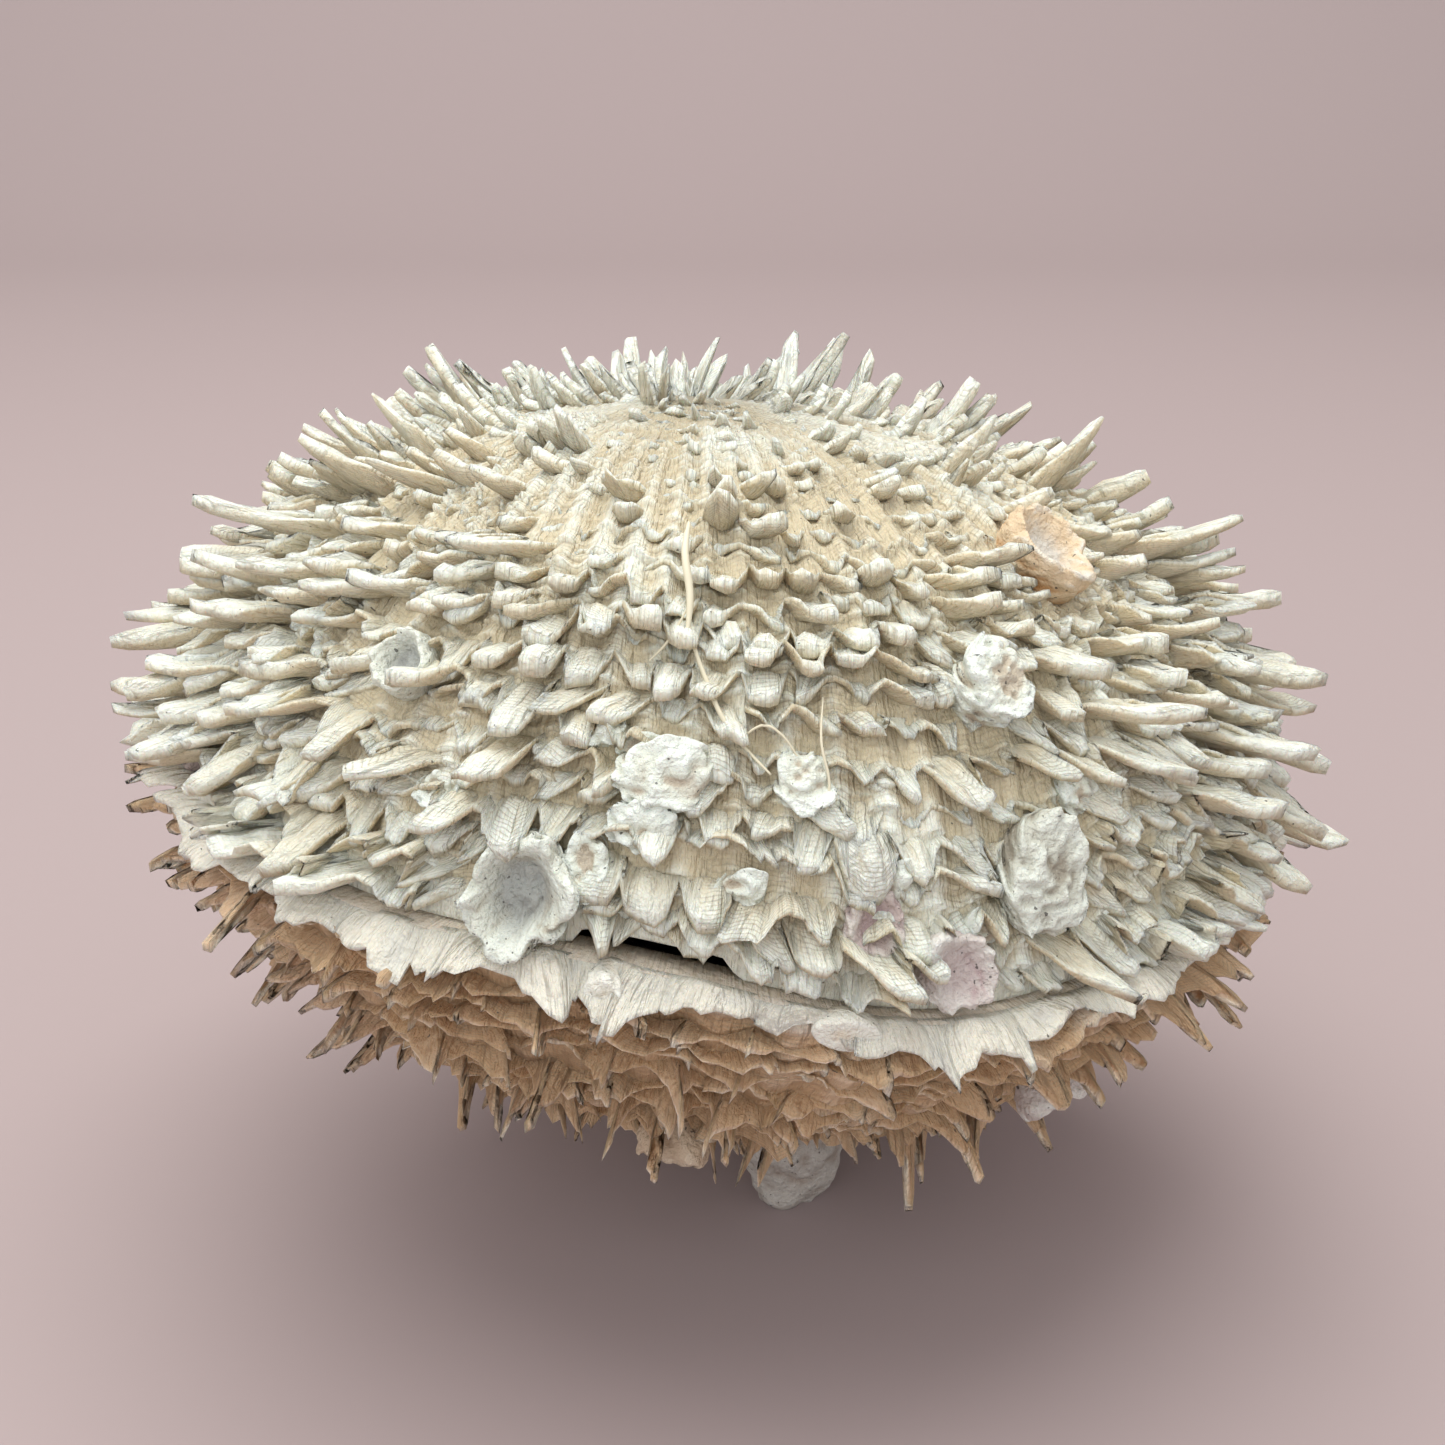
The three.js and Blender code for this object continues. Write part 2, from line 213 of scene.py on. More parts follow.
def add_floor():
    """A sweep: flat to the back, then a quarter circle up into the wall."""
    turn = np.linspace(0, np.pi / 2, 24)
    back, bend = SWEEP["back"], SWEEP["bend"]
    along = np.concatenate([[SWEEP["front"]], back + bend * np.sin(turn), [back + bend]])
    up = np.concatenate([[0.0], bend * (1 - np.cos(turn)), [SWEEP["top"]]])
    across = np.array([-SWEEP["half"], SWEEP["half"]])
    points = [(x, y, z) for y, z in zip(along, up) for x in across]
    faces = [(2 * i, 2 * i + 1, 2 * i + 3, 2 * i + 2) for i in range(len(along) - 1)]
    mesh = bpy.data.meshes.new("floor")
    mesh.from_pydata(points, [], faces)
    mesh.shade_smooth()
    sweep = bpy.data.objects.new("floor", mesh)
    bpy.context.scene.collection.objects.link(sweep)
    paint = Finish("pale_floor")
    paint.shader.inputs["Base Color"].default_value = (*FLOOR_COLOUR, 1)
    paint.shader.inputs["Roughness"].default_value = FLOOR_ROUGHNESS
    sweep.data.materials.append(paint.material)


add_floor()


# Upper valve, the domed half. Shell lime laid down in lobed sheets from the beak outwards,
# each sheet's edge drawn out over the ribs; the edges stand as low ledges round the dome.
# The form is the one the solid has: a margin, a beak in plan and a rise over the share of
# the way between them, tipped with the shell as it sits on its scar.
# Sizes are in millimetres and bearings in degrees, 0 at the right and -90 at the front.
WALL = 5.5
SEAM_GAP = 0.4
ROLL, PITCH = np.radians(6.5), np.radians(2.0)
MARGIN_LOBES = ((5, 0.012, 0.7), (9, 0.008, 2.0))
HINGE = dict(bearing=90, spread=28, inset=0.09)
SEAM_DIP = dict(bearing=-68, spread=18, level=0.4, deep=3.6)
LOWER_BEAK = dict(middle=6, half=32, deep=44, start=-4, end=42, inside=0.35)
# side is up or down; wide and deep are half the margin, and beak is its place in plan; grow,
# power, round and height are those of shell_form. lean is a spine's lean in degrees when
# young, on the front and on the flanks; length is its length on the front, and how much
# longer it is on the flanks and at the back. salt sets the valve's own chances.
UPPER = dict(side=1, wide=65.0, deep=57.5, beak=(-8, 16), grow=1.6, power=2.6, round=0.6,
             height=45.0, lean=(70, 42, 50), length=(4.8, 3.6, 4.6), salt=3)


def chance(rib, row, salt):
    """A repeatable number from 0 to 1: the fraction left of a large multiple of a sine."""
    wave = np.sin(rib * 12.9898 + row * 78.233 + salt * 37.719) * 43758.5453
    return wave - np.floor(wave)


def smooth(value, low, high):
    """0 below low, 1 above high, on a cubic between."""
    share = np.clip((value - low) / (high - low), 0, 1)
    return share * share * (3 - 2 * share)


def wander(u, v, salt, period=None):
    """Smooth noise from -1 to 1: chance at whole numbers, blended on cubics between, and
    repeated in u after the period."""
    left, below = np.floor(u), np.floor(v)
    across, up = smooth(u - left, 0, 1), smooth(v - below, 0, 1)

    def corner(right, above):
        column = np.mod(left + right, period) if period else left + right
        return chance(column, below + above, salt)

    low = corner(0, 0) * (1 - across) + corner(1, 0) * across
    high = corner(0, 1) * (1 - across) + corner(1, 1) * across
    return 2 * (low * (1 - up) + high * up) - 1


def turn_from(angle, degrees):
    """Signed angle from a bearing in degrees, in radians."""
    off = angle - np.radians(degrees)
    return np.arctan2(np.sin(off), np.cos(off))


def margin_share(angle):
    """Reach of the margin as a share of an ellipse: five and nine low lobes, less a bell
    at the back, where the hinge is nearly straight. A lobe row is count, height, phase."""
    share = 1
    for count, high, phase in MARGIN_LOBES:
        share = share + high * np.sin(count * angle + phase)
    off = turn_from(angle, HINGE["bearing"]) / np.radians(HINGE["spread"])
    return share - HINGE["inset"] * np.exp(-off ** 2)


def seam_dip(angle):
    """Depth of the seam: a bell at the right of the front."""
    off = turn_from(angle, SEAM_DIP["bearing"]) / np.radians(SEAM_DIP["spread"])
    return -SEAM_DIP["level"] - SEAM_DIP["deep"] * np.exp(-off ** 2)


def seat(points):
    """Turns points from the seam's own frame to the part's: rolled, pitched and lifted."""
    x, y, z = points
    x, z = x * np.cos(ROLL) + z * np.sin(ROLL), z * np.cos(ROLL) - x * np.sin(ROLL)
    y, z = y * np.cos(PITCH) + z * np.sin(PITCH), z * np.cos(PITCH) - y * np.sin(PITCH)
    return np.stack([x + SEAM_MIDDLE[0], y + SEAM_MIDDLE[1], z + SEAM_MIDDLE[2]], -1)


def above_seam(points):
    """Height above the seam's plane, the third row of the inverse of seat."""
    x, y, z = np.moveaxis(points - SEAM_MIDDLE, -1, 0)
    y, z = y * np.cos(PITCH) - z * np.sin(PITCH), z * np.cos(PITCH) + y * np.sin(PITCH)
    return z * np.cos(ROLL) + x * np.sin(ROLL)


def shell_form(valve, angle, growth, inset=0.0):
    """A point of a valve: in plan the share 1 - (1 - growth)^grow of the way from beak to
    margin, and in height a dome (1 - rho^power)^round over the reach rho from the middle,
    with the lower valve's beak as a bell that deepens to the back."""
    wide, deep = valve["wide"] - inset, valve["deep"] - inset
    share = 1 - (1 - growth) ** valve["grow"]
    edge = margin_share(angle)
    bx, by = valve["beak"]
    x = bx + (wide * np.cos(angle) * edge - bx) * share
    y = by + (deep * np.sin(angle) * edge - by) * share
    about = np.arctan2(y / deep, x / wide)
    rho = np.clip(np.hypot(x / wide, y / deep) / margin_share(about), 0, 1)
    rise = (valve["height"] - inset) * (1 - rho ** valve["power"]) ** valve["round"]
    if valve["side"] < 0:
        beak = LOWER_BEAK
        inside = beak["inside"] if inset > 1 else 1.0
        bell = np.exp(-(np.abs(x - beak["middle"]) / beak["half"]) ** 2.6) * (1 - rho ** 8) ** 0.7
        rise = rise + beak["deep"] * inside * smooth(y, beak["start"], beak["end"]) * bell
    z = valve["side"] * (rise + SEAM_GAP / 2) + seam_dip(angle) * share ** 6
    return seat((x, y, z))


def unit(vectors):
    return vectors / np.linalg.norm(vectors, axis=-1, keepdims=True)


def shell_frame(valve, angle, growth):
    """Point, way of growth, way across and way out at each angle and growth, by small
    differences of the form."""
    step = 0.004
    grown = np.clip(growth, 2 * step, 1 - 2 * step)
    along = unit(shell_form(valve, angle, grown + step) - shell_form(valve, angle, grown - step))
    around = shell_form(valve, angle + step, grown) - shell_form(valve, angle - step, grown)
    out = valve["side"] * unit(np.cross(along, around))
    return shell_form(valve, angle, growth), along, np.cross(out, along), out


def grid_piece(name, grids, uvs, values, wrap=(True, False), close=True):
    """A mesh from grids of points in millimetres, each rows by columns. wrap joins the last
    column to the first, and the last row to the first; close seals the two end rows with a
    point in their middle. uvs holds a pair for each point, and values named numbers. The
    faces are turned outwards by the sign of the volume that they enclose."""
    points, pairs, quads, caps = [], [], [], []
    marks = {title: [] for title in values}
    start = 0
    for index, grid in enumerate(grids):
        rows, columns = grid.shape[:2]
        number = start + np.arange(rows * columns).reshape(rows, columns)
        points.append(grid.reshape(-1, 3))
        pairs.append(uvs[index].reshape(-1, 2))
        for title, value in values.items():
            marks[title].append(value[index].ravel())
        start += rows * columns
        right = np.roll(number, -1, 1) if wrap[0] else number[:, 1:]
        left = number if wrap[0] else number[:, :-1]
        if close:
            for end, first, second in ((0, right[0], left[0]), (-1, left[-1], right[-1])):
                points.append(grid[end].mean(0)[None])
                pairs.append(uvs[index][end].mean(0)[None])
                for title, value in values.items():
                    marks[title].append(value[index][end].mean()[None])
                caps.append(np.stack([first, second, np.full_like(first, start)], -1))
                start += 1
        if wrap[1]:
            left, right = [np.concatenate([side, side[:1]]) for side in (left, right)]
        quads.append(np.stack([left[:-1], right[:-1], right[1:], left[1:]], -1).reshape(-1, 4))
    points, pairs, quads = [np.concatenate(part) for part in (points, pairs, quads)]
    caps = np.concatenate(caps) if caps else np.zeros((0, 3), int)
    face = points[quads]
    facing = np.cross(face[:, 2] - face[:, 0], face[:, 3] - face[:, 1])
    if (face.mean(1) * facing).sum() < 0:
        quads, caps = quads[:, ::-1], caps[:, ::-1]
    corners = np.concatenate([quads.ravel(), caps.ravel()])
    starts = np.concatenate([4 * np.arange(len(quads)), quads.size + 3 * np.arange(len(caps))])
    mesh = bpy.data.meshes.new(name)
    mesh.vertices.add(len(points))
    mesh.vertices.foreach_set("co", (points * MM).astype(np.float32).ravel())
    mesh.loops.add(len(corners))
    mesh.loops.foreach_set("vertex_index", corners.astype(np.int32))
    mesh.polygons.add(len(starts))
    mesh.polygons.foreach_set("loop_start", starts.astype(np.int32))
    mesh.update(calc_edges=True)
    mesh.shade_smooth()
    layer = mesh.uv_layers.new(name="lines")
    layer.data.foreach_set("uv", pairs[corners].astype(np.float32).ravel())
    for title, value in marks.items():
        mark = mesh.attributes.new(title, "FLOAT", "POINT")
        mark.data.foreach_set("value", np.concatenate(value).astype(np.float32))
    piece = bpy.data.objects.new(name, mesh)
    bpy.context.scene.collection.objects.link(piece)
    return piece


# Growth lines from beak to rim, lanes of the finish round a valve, and the lumps and pocks
# round it. The first ring of a valve lies at BEAK_START.
LINES = 165.0
LANES = 70
LUMPS, POCKS = 24, 130
BEAK_START = 0.004


def line_count(valve, angle, growth):
    """Growth lines counted from the beak: LINES to the full growth, arched over each rib
    and set back and forth by noise."""
    lap = angle / (2 * np.pi)
    rib = np.cos(2 * np.pi * valve["ribs"] * lap) * smooth(growth, 0.15, 0.5)
    return LINES * growth + 0.6 * rib + 1.5 * wander(lap * (valve["ribs"] // 3), growth * 9,
                                                     valve["salt"], valve["ribs"] // 3)


def lap_share(angle):
    """Share of the way round from the hinge. The two ends of a lap meet there in one column
    of faces, which squeezes every lane and shows from behind as a thin dark line."""
    return np.mod(angle / (2 * np.pi) - 0.25, 1.0)


def ledges(valve, angle, growth):
    """How far the surface stands out, in millimetres: ribs as a cosine round the valve,
    sheet edges as a saw that rises with growth and drops at each edge, bent by the ribs,
    and a few broad lumps. All fade at the beak and at the rim."""
    lap = angle / (2 * np.pi)
    ribs, rows, salt = valve["ribs"], valve["rows"], valve["salt"]
    rib = 0.5 + 0.5 * np.cos(2 * np.pi * ribs * lap)
    grown = smooth(growth, 0.1, 0.5)
    bend = 0.22 * rib + 0.5 * wander(lap * (ribs // 3), growth * 9, salt, ribs // 3)
    sheet = (growth * rows + bend) * valve["sheets"]
    edge = np.mod(sheet, 1.0)
    weight = 0.5 + 0.5 * wander(lap * ribs, np.floor(sheet), salt + 5, ribs)
    saw = edge ** 1.5 * (1 - smooth(edge, 0.86, 1.0))
    lump = wander(lap * LUMPS, growth * 7, salt + 9, LUMPS)
    pock = wander(lap * POCKS, growth * 45, salt + 7, POCKS)
    out = (valve["relief"] * rib * grown + valve["ledge"] * saw * weight * (0.35 + 0.65 * grown)
           + 0.6 * lump + 0.16 * pock)
    return out * smooth(growth, 0.0, 0.12) * (1 - smooth(growth, 0.965, 0.995))


def valve_body(name, valve, columns, rings, hollow_rings):
    """The valve as one closed wall: the outside from beak to rim pushed out by its ledges,
    then the smooth inside from rim back to beak. Rows of points run round the valve, and
    each keeps its growth, so that the finish can follow the growth lines. The part below
    the floor is worn flat, as the scar of the valve's old hold."""
    angle = np.linspace(0, 2 * np.pi, columns, endpoint=False)[None, :]
    grown = np.linspace(BEAK_START, 1.0, rings)[:, None]
    back = np.linspace(1.0, BEAK_START, hollow_rings)[:, None]
    base, _, _, out = shell_frame(valve, angle, grown)
    relief = ledges(valve, angle, grown) * crust_clearance(base, valve["spots"])
    outside = base + out * relief[..., None]
    inside = shell_form(valve, angle + 0 * back, back + 0 * angle, WALL)
    if "gape" in valve:
        outside[..., 2] += valve["gape"](angle) * smooth(grown, 0.93, 0.99)
        inside[..., 2] += valve["gape"](angle) * smooth(back, 0.9, 0.97)
    outside[..., 2] = outside[..., 2].clip(0)
    points = np.concatenate([outside, inside], 0)
    growth = np.concatenate([grown + 0 * angle, back + 0 * angle], 0)
    lap = np.broadcast_to(lap_share(angle), growth.shape)
    inner = np.concatenate([0 * grown + 0 * angle, 1 - smooth(back, 0.94, 0.97) + 0 * angle], 0)
    # The mark for the finish: relief less a constant, paler towards the beak. It is low in the
    # grooves between ribs and ledges, where the finish lays painted shade, partly tan stain, and
    # high on the ridges, where it lays painted highlight, partly chalk.
    tone = relief - 0.8 + 0.85 * (1 - smooth(grown, 0.2, 0.5))
    raised = np.concatenate([tone, 0 * back + 0 * angle], 0)
    lines = np.stack([line_count(valve, angle, growth), LANES * lap], -1)
    return grid_piece(name, [points], [lines],
                      {"inner": [inner], "raised": [raised], "grown": [growth]})


def crust_clearance(place, spots):
    """0.06 well inside a crust's radius and 1 just outside it, for each point."""
    clear = np.ones(place.shape[:-1])
    for middle, radius in spots:
        away = np.linalg.norm(place - middle, axis=-1)
        clear = clear * (0.06 + 0.94 * smooth(away, radius * 0.65, radius * 1.05))
    return clear


# Crusts: bearing, growth and the radius within which spines are worn down to nothing.
UPPER_CRUSTS = [(-109, .95, 8.0), (-126, .74, 4.4), (-63, .685, 4.8), (-97, .81, 4.4),
                (-60, .875, 6.6), (-69, .955, 5.2), (-44, .53, 6.4), (-96.5, .99, 4.4)]
UPPER["spots"] = [(shell_form(UPPER, np.radians(b), np.array(g)), r) for b, g, r in UPPER_CRUSTS]

# The gape at the front, where the upper rim is chipped back from the lower.
GAPE = dict(bearing=-96.5, half=7.4, high=2.1)


def gape_lift(angle):
    """Lift of the upper rim: flat over the gape, with steep ends."""
    off = np.abs(np.degrees(turn_from(angle, GAPE["bearing"]))) / GAPE["half"]
    return GAPE["high"] * (1 - smooth(off, 0.85, 1.1))


UPPER.update(ribs=76, rows=27, sheets=2, ledge=1.3, relief=0.9, gape=gape_lift)


# Colours of the finishes are linear red, green and blue.
# The pale below is chalk white, laid on ridges and spine tips partly as painted highlight.
PALE = (0.83, 0.855, 0.78)
CREAM = (0.785, 0.785, 0.68)
# The tan below is painted shade in the hollows and under the spines, partly tan stain, and also the
# streak colour.
TAN_SHADE_AND_STREAK = (0.62, 0.535, 0.375)
PINKISH = (0.78, 0.65, 0.48)
# The dark brown below is painted shade in the creases of the growth lines.
CREASE_SHADE = (0.34, 0.28, 0.19)
DIRT = (0.05, 0.045, 0.04)
PLUM_INSIDE = (0.36, 0.17, 0.22)


def shell_lime(name, pale, cream, deep, young, inside, edge=PALE):
    """Finish of the shell itself. Chalk white where the raised mark is high, on ridges and spine
    tips, partly the shell's chalk and partly painted highlight; cream on the flats; and tan
    where the mark is low, in the hollows and under the spines, partly stain and partly
    painted shade; all broken up by noise, with a blush when young. Fine growth lines as a saw
    along growth, worn away in patches, their creases darkened as painted shade; streaks of
    the deep colour the way that the shell grew; another colour at the rim; scattered dark
    specks of dirt; and the inside in its own colour."""
    paint = Finish(name)
    grown, raised = paint.attribute("grown"), paint.attribute("raised")
    uv = paint.node("UVMap", {"uv_map": "lines"})
    cloud = paint.noise(38, 3)
    patch = paint.noise(260, 4)
    grain = paint.noise(2100, 3)
    blush = paint.noise(24, 2)
    # The deep colour where the mark is low is painted shade in hollows and under spines, partly
    # stain; the pale where it is high is painted highlight on ridges and tips, partly chalk.
    hollow = (raised + 1.1 * (patch - 0.5) + 0.9 * (cloud - 0.5)).step(-0.3, 0.75)
    colour = paint.blend(hollow, deep, cream)
    tone_and_painted_light = (raised + 1.3 * (patch - 0.5) + 0.8 * (cloud - 0.5)).step(0.5, 1.15)
    colour = paint.blend(tone_and_painted_light, colour, pale)
    colour = paint.blend((blush - 0.1 * grown).step(0.48, 0.70) * 0.4, colour, young)
    wobble = paint.noise(190, 3)
    count = paint.node("SeparateXYZ", None, {"Vector": uv})
    saw = (count + 4.5 * wobble).part()
    worn = paint.noise(130, 3).step(0.42, 0.62)
    crease = saw.step(0.55, 0.95) * worn
    chip = paint.noise(820, 4)
    streaks = paint.noise(1.0, 3, uv, (0.10, 6.0, 1.0))
    # Painted shade: the creases of the growth lines darkened towards dark brown, where they are not
    # worn away.
    colour = paint.blend(crease * 0.5, colour, CREASE_SHADE)
    colour = paint.blend(streaks.step(0.5, 0.34) * 0.4, colour, deep)
    speck = paint.noise(1250, 1.5).step(0.745, 0.775)
    colour = paint.blend(grown.step(0.95, 0.975) * 0.7, colour, edge)
    colour = paint.blend(speck * 0.8, colour, DIRT)
    colour = paint.blend(paint.attribute("inner"), colour, inside)
    rough = 0.6 + 0.2 * patch
    height = (0.2 * saw * (0.25 + 0.75 * worn) + 0.15 * grain + 0.3 * patch + 0.7 * chip
              + 1.3 * streaks)
    return paint.surface(colour, rough, height, 0.0011, 0.25)


upper_lime = shell_lime("upper_lime", PALE, CREAM, TAN_SHADE_AND_STREAK, PINKISH, PLUM_INSIDE)

upper_body = valve_body("upper_body", UPPER, 380, 242, 20)
upper_body.data.materials.append(upper_lime)
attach(upper_body, "root")
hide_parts("upper_valve")


# Spines of the upper valve. Each row is the edge of one old sheet of shell, drawn out over
# every rib into a gutter or a blade and left as a low frill between the ribs. They are
# short, thick and blunt on the front, long blades on the flanks, and small pegs, sparse and
# upright, near the beak. The outline goes by a column's share of the way from a rib to the
# next: how far it stands from the spine's middle, in half widths, and its share of the
# spine's length, for a pointed spine and for one that is broken off square.
ACROSS = np.array([-1, -.74, -.58, -.45, -.28, -.09, .09, .28, .45, .58, .74])
LONGWAYS = np.array([0, .14, .32, .52, .72, .9, 1.0])
SHARE = (0, .09, .28, .45, .58, .74, 1)
HALF = (0, .28, .78, 1.0, 1.25, 1.65, 2.2)
POINTED = (1, .95, .70, .42, .25, .12, 0)
SQUARE = (1, .97, .90, .64, .37, .16, 0)
MEASURES = ("long", "wide", "thick", "lean", "heading", "curl", "square")
MEAN_REACH = 60
# The finish counts lines to a millimetre along a spine, and lanes to a rib across it.
SPINE_LINES, SPINE_LANES = 1.9, 2.4


def spine_measures(valve, rib, row, ribs, angle, growth):
    """Length, width, thickness, lean, heading, curl and tip of each ordinary spine, drawn
    from its rib and row: long on the flanks and at the back, short on the front and when
    young. A few are a third longer, and a share of them is lost, more of them when young.
    The width is kept under the room between two ribs, on a circle of MEAN_REACH."""
    def draw(n):
        return chance(rib, row, valve["salt"] + n)

    front, flank, back = valve["length"]
    young, fore, side = valve["lean"]
    flanking = np.maximum(np.cos(angle) ** 2, np.sin(angle))
    behind = np.maximum(0, np.sin(angle)) * (1 - 1.3 * smooth(growth, 0.55, 0.8))
    full = front + flank * np.cos(angle) ** 2 + back * behind
    full = full * (1 - 0.5 * smooth(np.sin(angle), -0.25, 0.3) * smooth(growth, 0.35, 0.65))
    full = full * (0.48 + 0.52 * smooth(growth + 0.3 * behind, 0.15, 0.7))
    long = full * (0.4 + 1.1 * draw(4)) * np.where(draw(5) > 0.86, 1.3, 1.0)
    lost = 0.16 + 0.3 * (1 - smooth(growth, 0.4, 0.65)) * (valve["side"] > 0)
    long = np.where(draw(3) < lost, 0.12 * long, long)
    room = 2 * np.pi * MEAN_REACH * (1 - (1 - growth) ** valve["grow"]) / ribs
    wide = valve["breadth"] * (1.0 + 0.36 * long.clip(0, 10)) * (0.55 + 0.8 * draw(6))
    wide = np.minimum(wide * (0.72 + 0.28 * smooth(growth, 0.45, 0.7)), 0.95 * room)
    lean = fore + (side - fore) * flanking
    lean = young + (lean - young) * smooth(growth, 0.4, 0.75) + 30 * (draw(7) - 0.5)
    sweep = valve["sweep"] * np.sin(2 * (angle + np.pi / 2)) * smooth(growth, 0.2, 0.6)
    thick = valve["stout"] * wide * (0.7 + 0.6 * draw(8)) * (1 - 0.3 * flanking)
    return dict(long=long, wide=wide, thick=thick,
                lean=lean, heading=sweep + 52 * (draw(9) - 0.5), curl=0.5 * (draw(10) - 0.4),
                square=(draw(11) < valve["broken"] + 0.1 * flanking) * 1.0)


def add_heroes(valve, measures, middle, ribs):
    """Puts the spines that stand out in place of the ordinary ones nearest to them."""
    half_row = 0.5 * (valve["last"] - valve["first"]) / valve["rows"]
    for bearing, growth, *shape in valve["heroes"]:
        if abs(min(growth, valve["last"] - half_row) - middle) > half_row:
            continue
        pick = int(np.round(bearing / 360 * ribs - 0.5)) % ribs
        for key, value in zip(MEASURES, shape):
            measures[key][pick] = value
    return measures


def lean_clear(valve, place, along, out, each, angle):
    """The lean of each column, raised in steps where the spine's tip would reach past the
    seam to the other valve."""
    lean = each["lean"] + 0 * angle
    for _ in range(14):
        up = np.radians(lean)[..., None]
        tip = place + each["long"][..., None] * (along * np.cos(up) + out * np.sin(up))
        near = valve["side"] * (above_seam(tip) - seam_dip(angle)) < valve["clear"]
        lean = np.where(near & (lean < 112), lean + 6, lean)
    return lean


def crown(valve, row, ribs):
    """One row of spines as a closed frill: a top and an underside that meet at the free
    edge and close again inside the wall. Each rib has a fixed set of columns; a column's
    end follows the spine's outline, half its width against its reach, and the column runs
    there from the rib's share of the root line. Along its length a spine rises from the
    surface to its lean and then curls, and across it is arched like a gutter."""
    rib = np.arange(ribs)
    salt = valve["salt"]
    centre = 2 * np.pi * (rib + 0.5 + 0.4 * (chance(rib, row, salt + 1) - 0.5)) / ribs
    following = np.roll(centre, -1) + np.where(rib == ribs - 1, 2 * np.pi, 0)
    before = np.roll(centre, 1) - np.where(rib == 0, 2 * np.pi, 0)
    span = (valve["last"] - valve["first"]) / valve["rows"]
    middle = valve["first"] + span * (row + 0.5)
    jog = span * (0.5 * (chance(rib, row, salt + 2) - 0.5)
                  + 0.45 * wander(rib * (ribs // 5) / ribs, row * 0.7, salt + 3, ribs // 5))
    measures = spine_measures(valve, rib, row, ribs, centre, middle + 0 * rib)
    measures = add_heroes(valve, measures, middle, ribs)

    q = ACROSS[None, :]
    fan = np.sign(q) * np.abs(q) ** valve["fan"]
    past = np.where(q < 0, (centre - before)[:, None], (following - centre)[:, None]) / 2
    angle = centre[:, None] + fan * past
    shared = 0.5 * (jog[:, None] + np.where(q < 0, np.roll(jog, 1)[:, None],
                                            np.roll(jog, -1)[:, None]))
    blend = np.abs(q) ** 1.5
    growth = middle + jog[:, None] * (1 - blend) + (shared - 0.25 * span) * blend
    growth = np.clip(growth, 0.01, valve["last"])
    place, along, across, out = shell_frame(valve, angle, growth)

    each = {key: value[:, None] for key, value in measures.items()}
    number = rib[:, None] * len(ACROSS) + np.arange(len(ACROSS))[None]
    ragged = 1 + valve["ragged"] * (chance(number, row, salt + 12) - 0.5)
    web = valve["web"] * (0.5 + 0.5 * (chance(rib, row, salt + 13)[:, None] * (1 - np.abs(q))
                                       + 0.5 * np.abs(q))
                          + 0.35 * wander(number / 7.5, row, salt + 14, 2 * ribs))
    grown = smooth(growth, valve["sheets_from"], valve["sheets_from"] + 0.35)
    web = web.clip(0.15) * grown * (1 + 0.5 * smooth(growth, 0.8, 0.93))
    share = (np.interp(np.abs(q), SHARE, POINTED) * (1 - each["square"])
             + np.interp(np.abs(q), SHARE, SQUARE) * each["square"])
    reach = (web + (each["long"] - web).clip(0) * share) * ragged
    reach = reach * crust_clearance(place, valve["spots"]) * smooth(place[..., 2], 1.0, 6.0)
    half = each["wide"] / 2
    room = np.linalg.norm(np.diff(place, axis=1), axis=-1).sum(1, keepdims=True) / 2
    outline = np.interp(np.abs(q), SHARE, HALF) * half * (1 + 0.25 * each["square"])
    widest = 1.05 * np.maximum(room, half) * np.abs(q) ** 0.45
    shift = np.sign(q) * np.where(np.abs(q) < 0.9, np.minimum(outline, widest), room)
    finger = share ** 0.5

    w = LONGWAYS[:, None, None]
    length = reach[None] * w
    rise = 0.3 + 1.1 * smooth(share, 0.3, 1)[None]
    settle = rise * (1 - np.exp(-length / rise))
    lift = valve["lift"] * (1 - smooth(share, 0.0, 0.6)) * smooth(growth, 0.3, 0.6)
    up = np.radians(lean_clear(valve, place, along, out, each, angle) + lift)[None]
    forward = np.cos(up) * length + (1 - np.cos(up)) * settle
    raised = np.sin(up) * (length - settle)
    raised = raised + each["curl"][None] * length ** 2 / each["long"][None].clip(2)
    root = fan * room * 0.98
    sideways = (shift - root)[None] * (1 - (1 - w) ** 2.5) * finger.clip(0.05)[None] ** 0.3
    swing = np.tan(np.radians(each["heading"]))[None] * length * finger[None]
    offset = (np.sign(q) * np.minimum(np.abs(shift), half * 1.3))[None] / half[None].clip(0.2)
    gutter = (1 - offset ** 2).clip(-valve["furrow"])
    arch = each["thick"][None] * valve["arch"] * gutter * smooth(w, 0.0, 0.3) * finger[None]
    groove = 0.09 * np.cos(offset * 8.5 + 6 * chance(rib, row, 2)[:, None]) * finger[None]
    knobs = 0.5 * wander(number / 2.2, row * 7 + w * each["long"] / 1.3, salt + 15) * finger[None]
    body = each["thick"][None] * np.sqrt((1 - (offset * 0.93) ** 2).clip(0.04)) * finger[None] ** 2
    thick = (valve["sheet"] + body * (1 - 0.4 * w ** 2)) * np.where(w > 0.97, 0.62, 1.0)
    thick = np.minimum(thick, 0.3 + 0.5 * reach[None])

    def layer(lift):
        """The frill's middle surface moved by lift along its own upright."""
        ahead = forward - np.sin(up) * lift
        above = raised + np.cos(up) * lift - 0.9 * (w < 0.01) - 0.25
        return (place[None] + across[None] * (sideways + swing)[..., None]
                + along[None] * ahead[..., None] + out[None] * above[..., None])

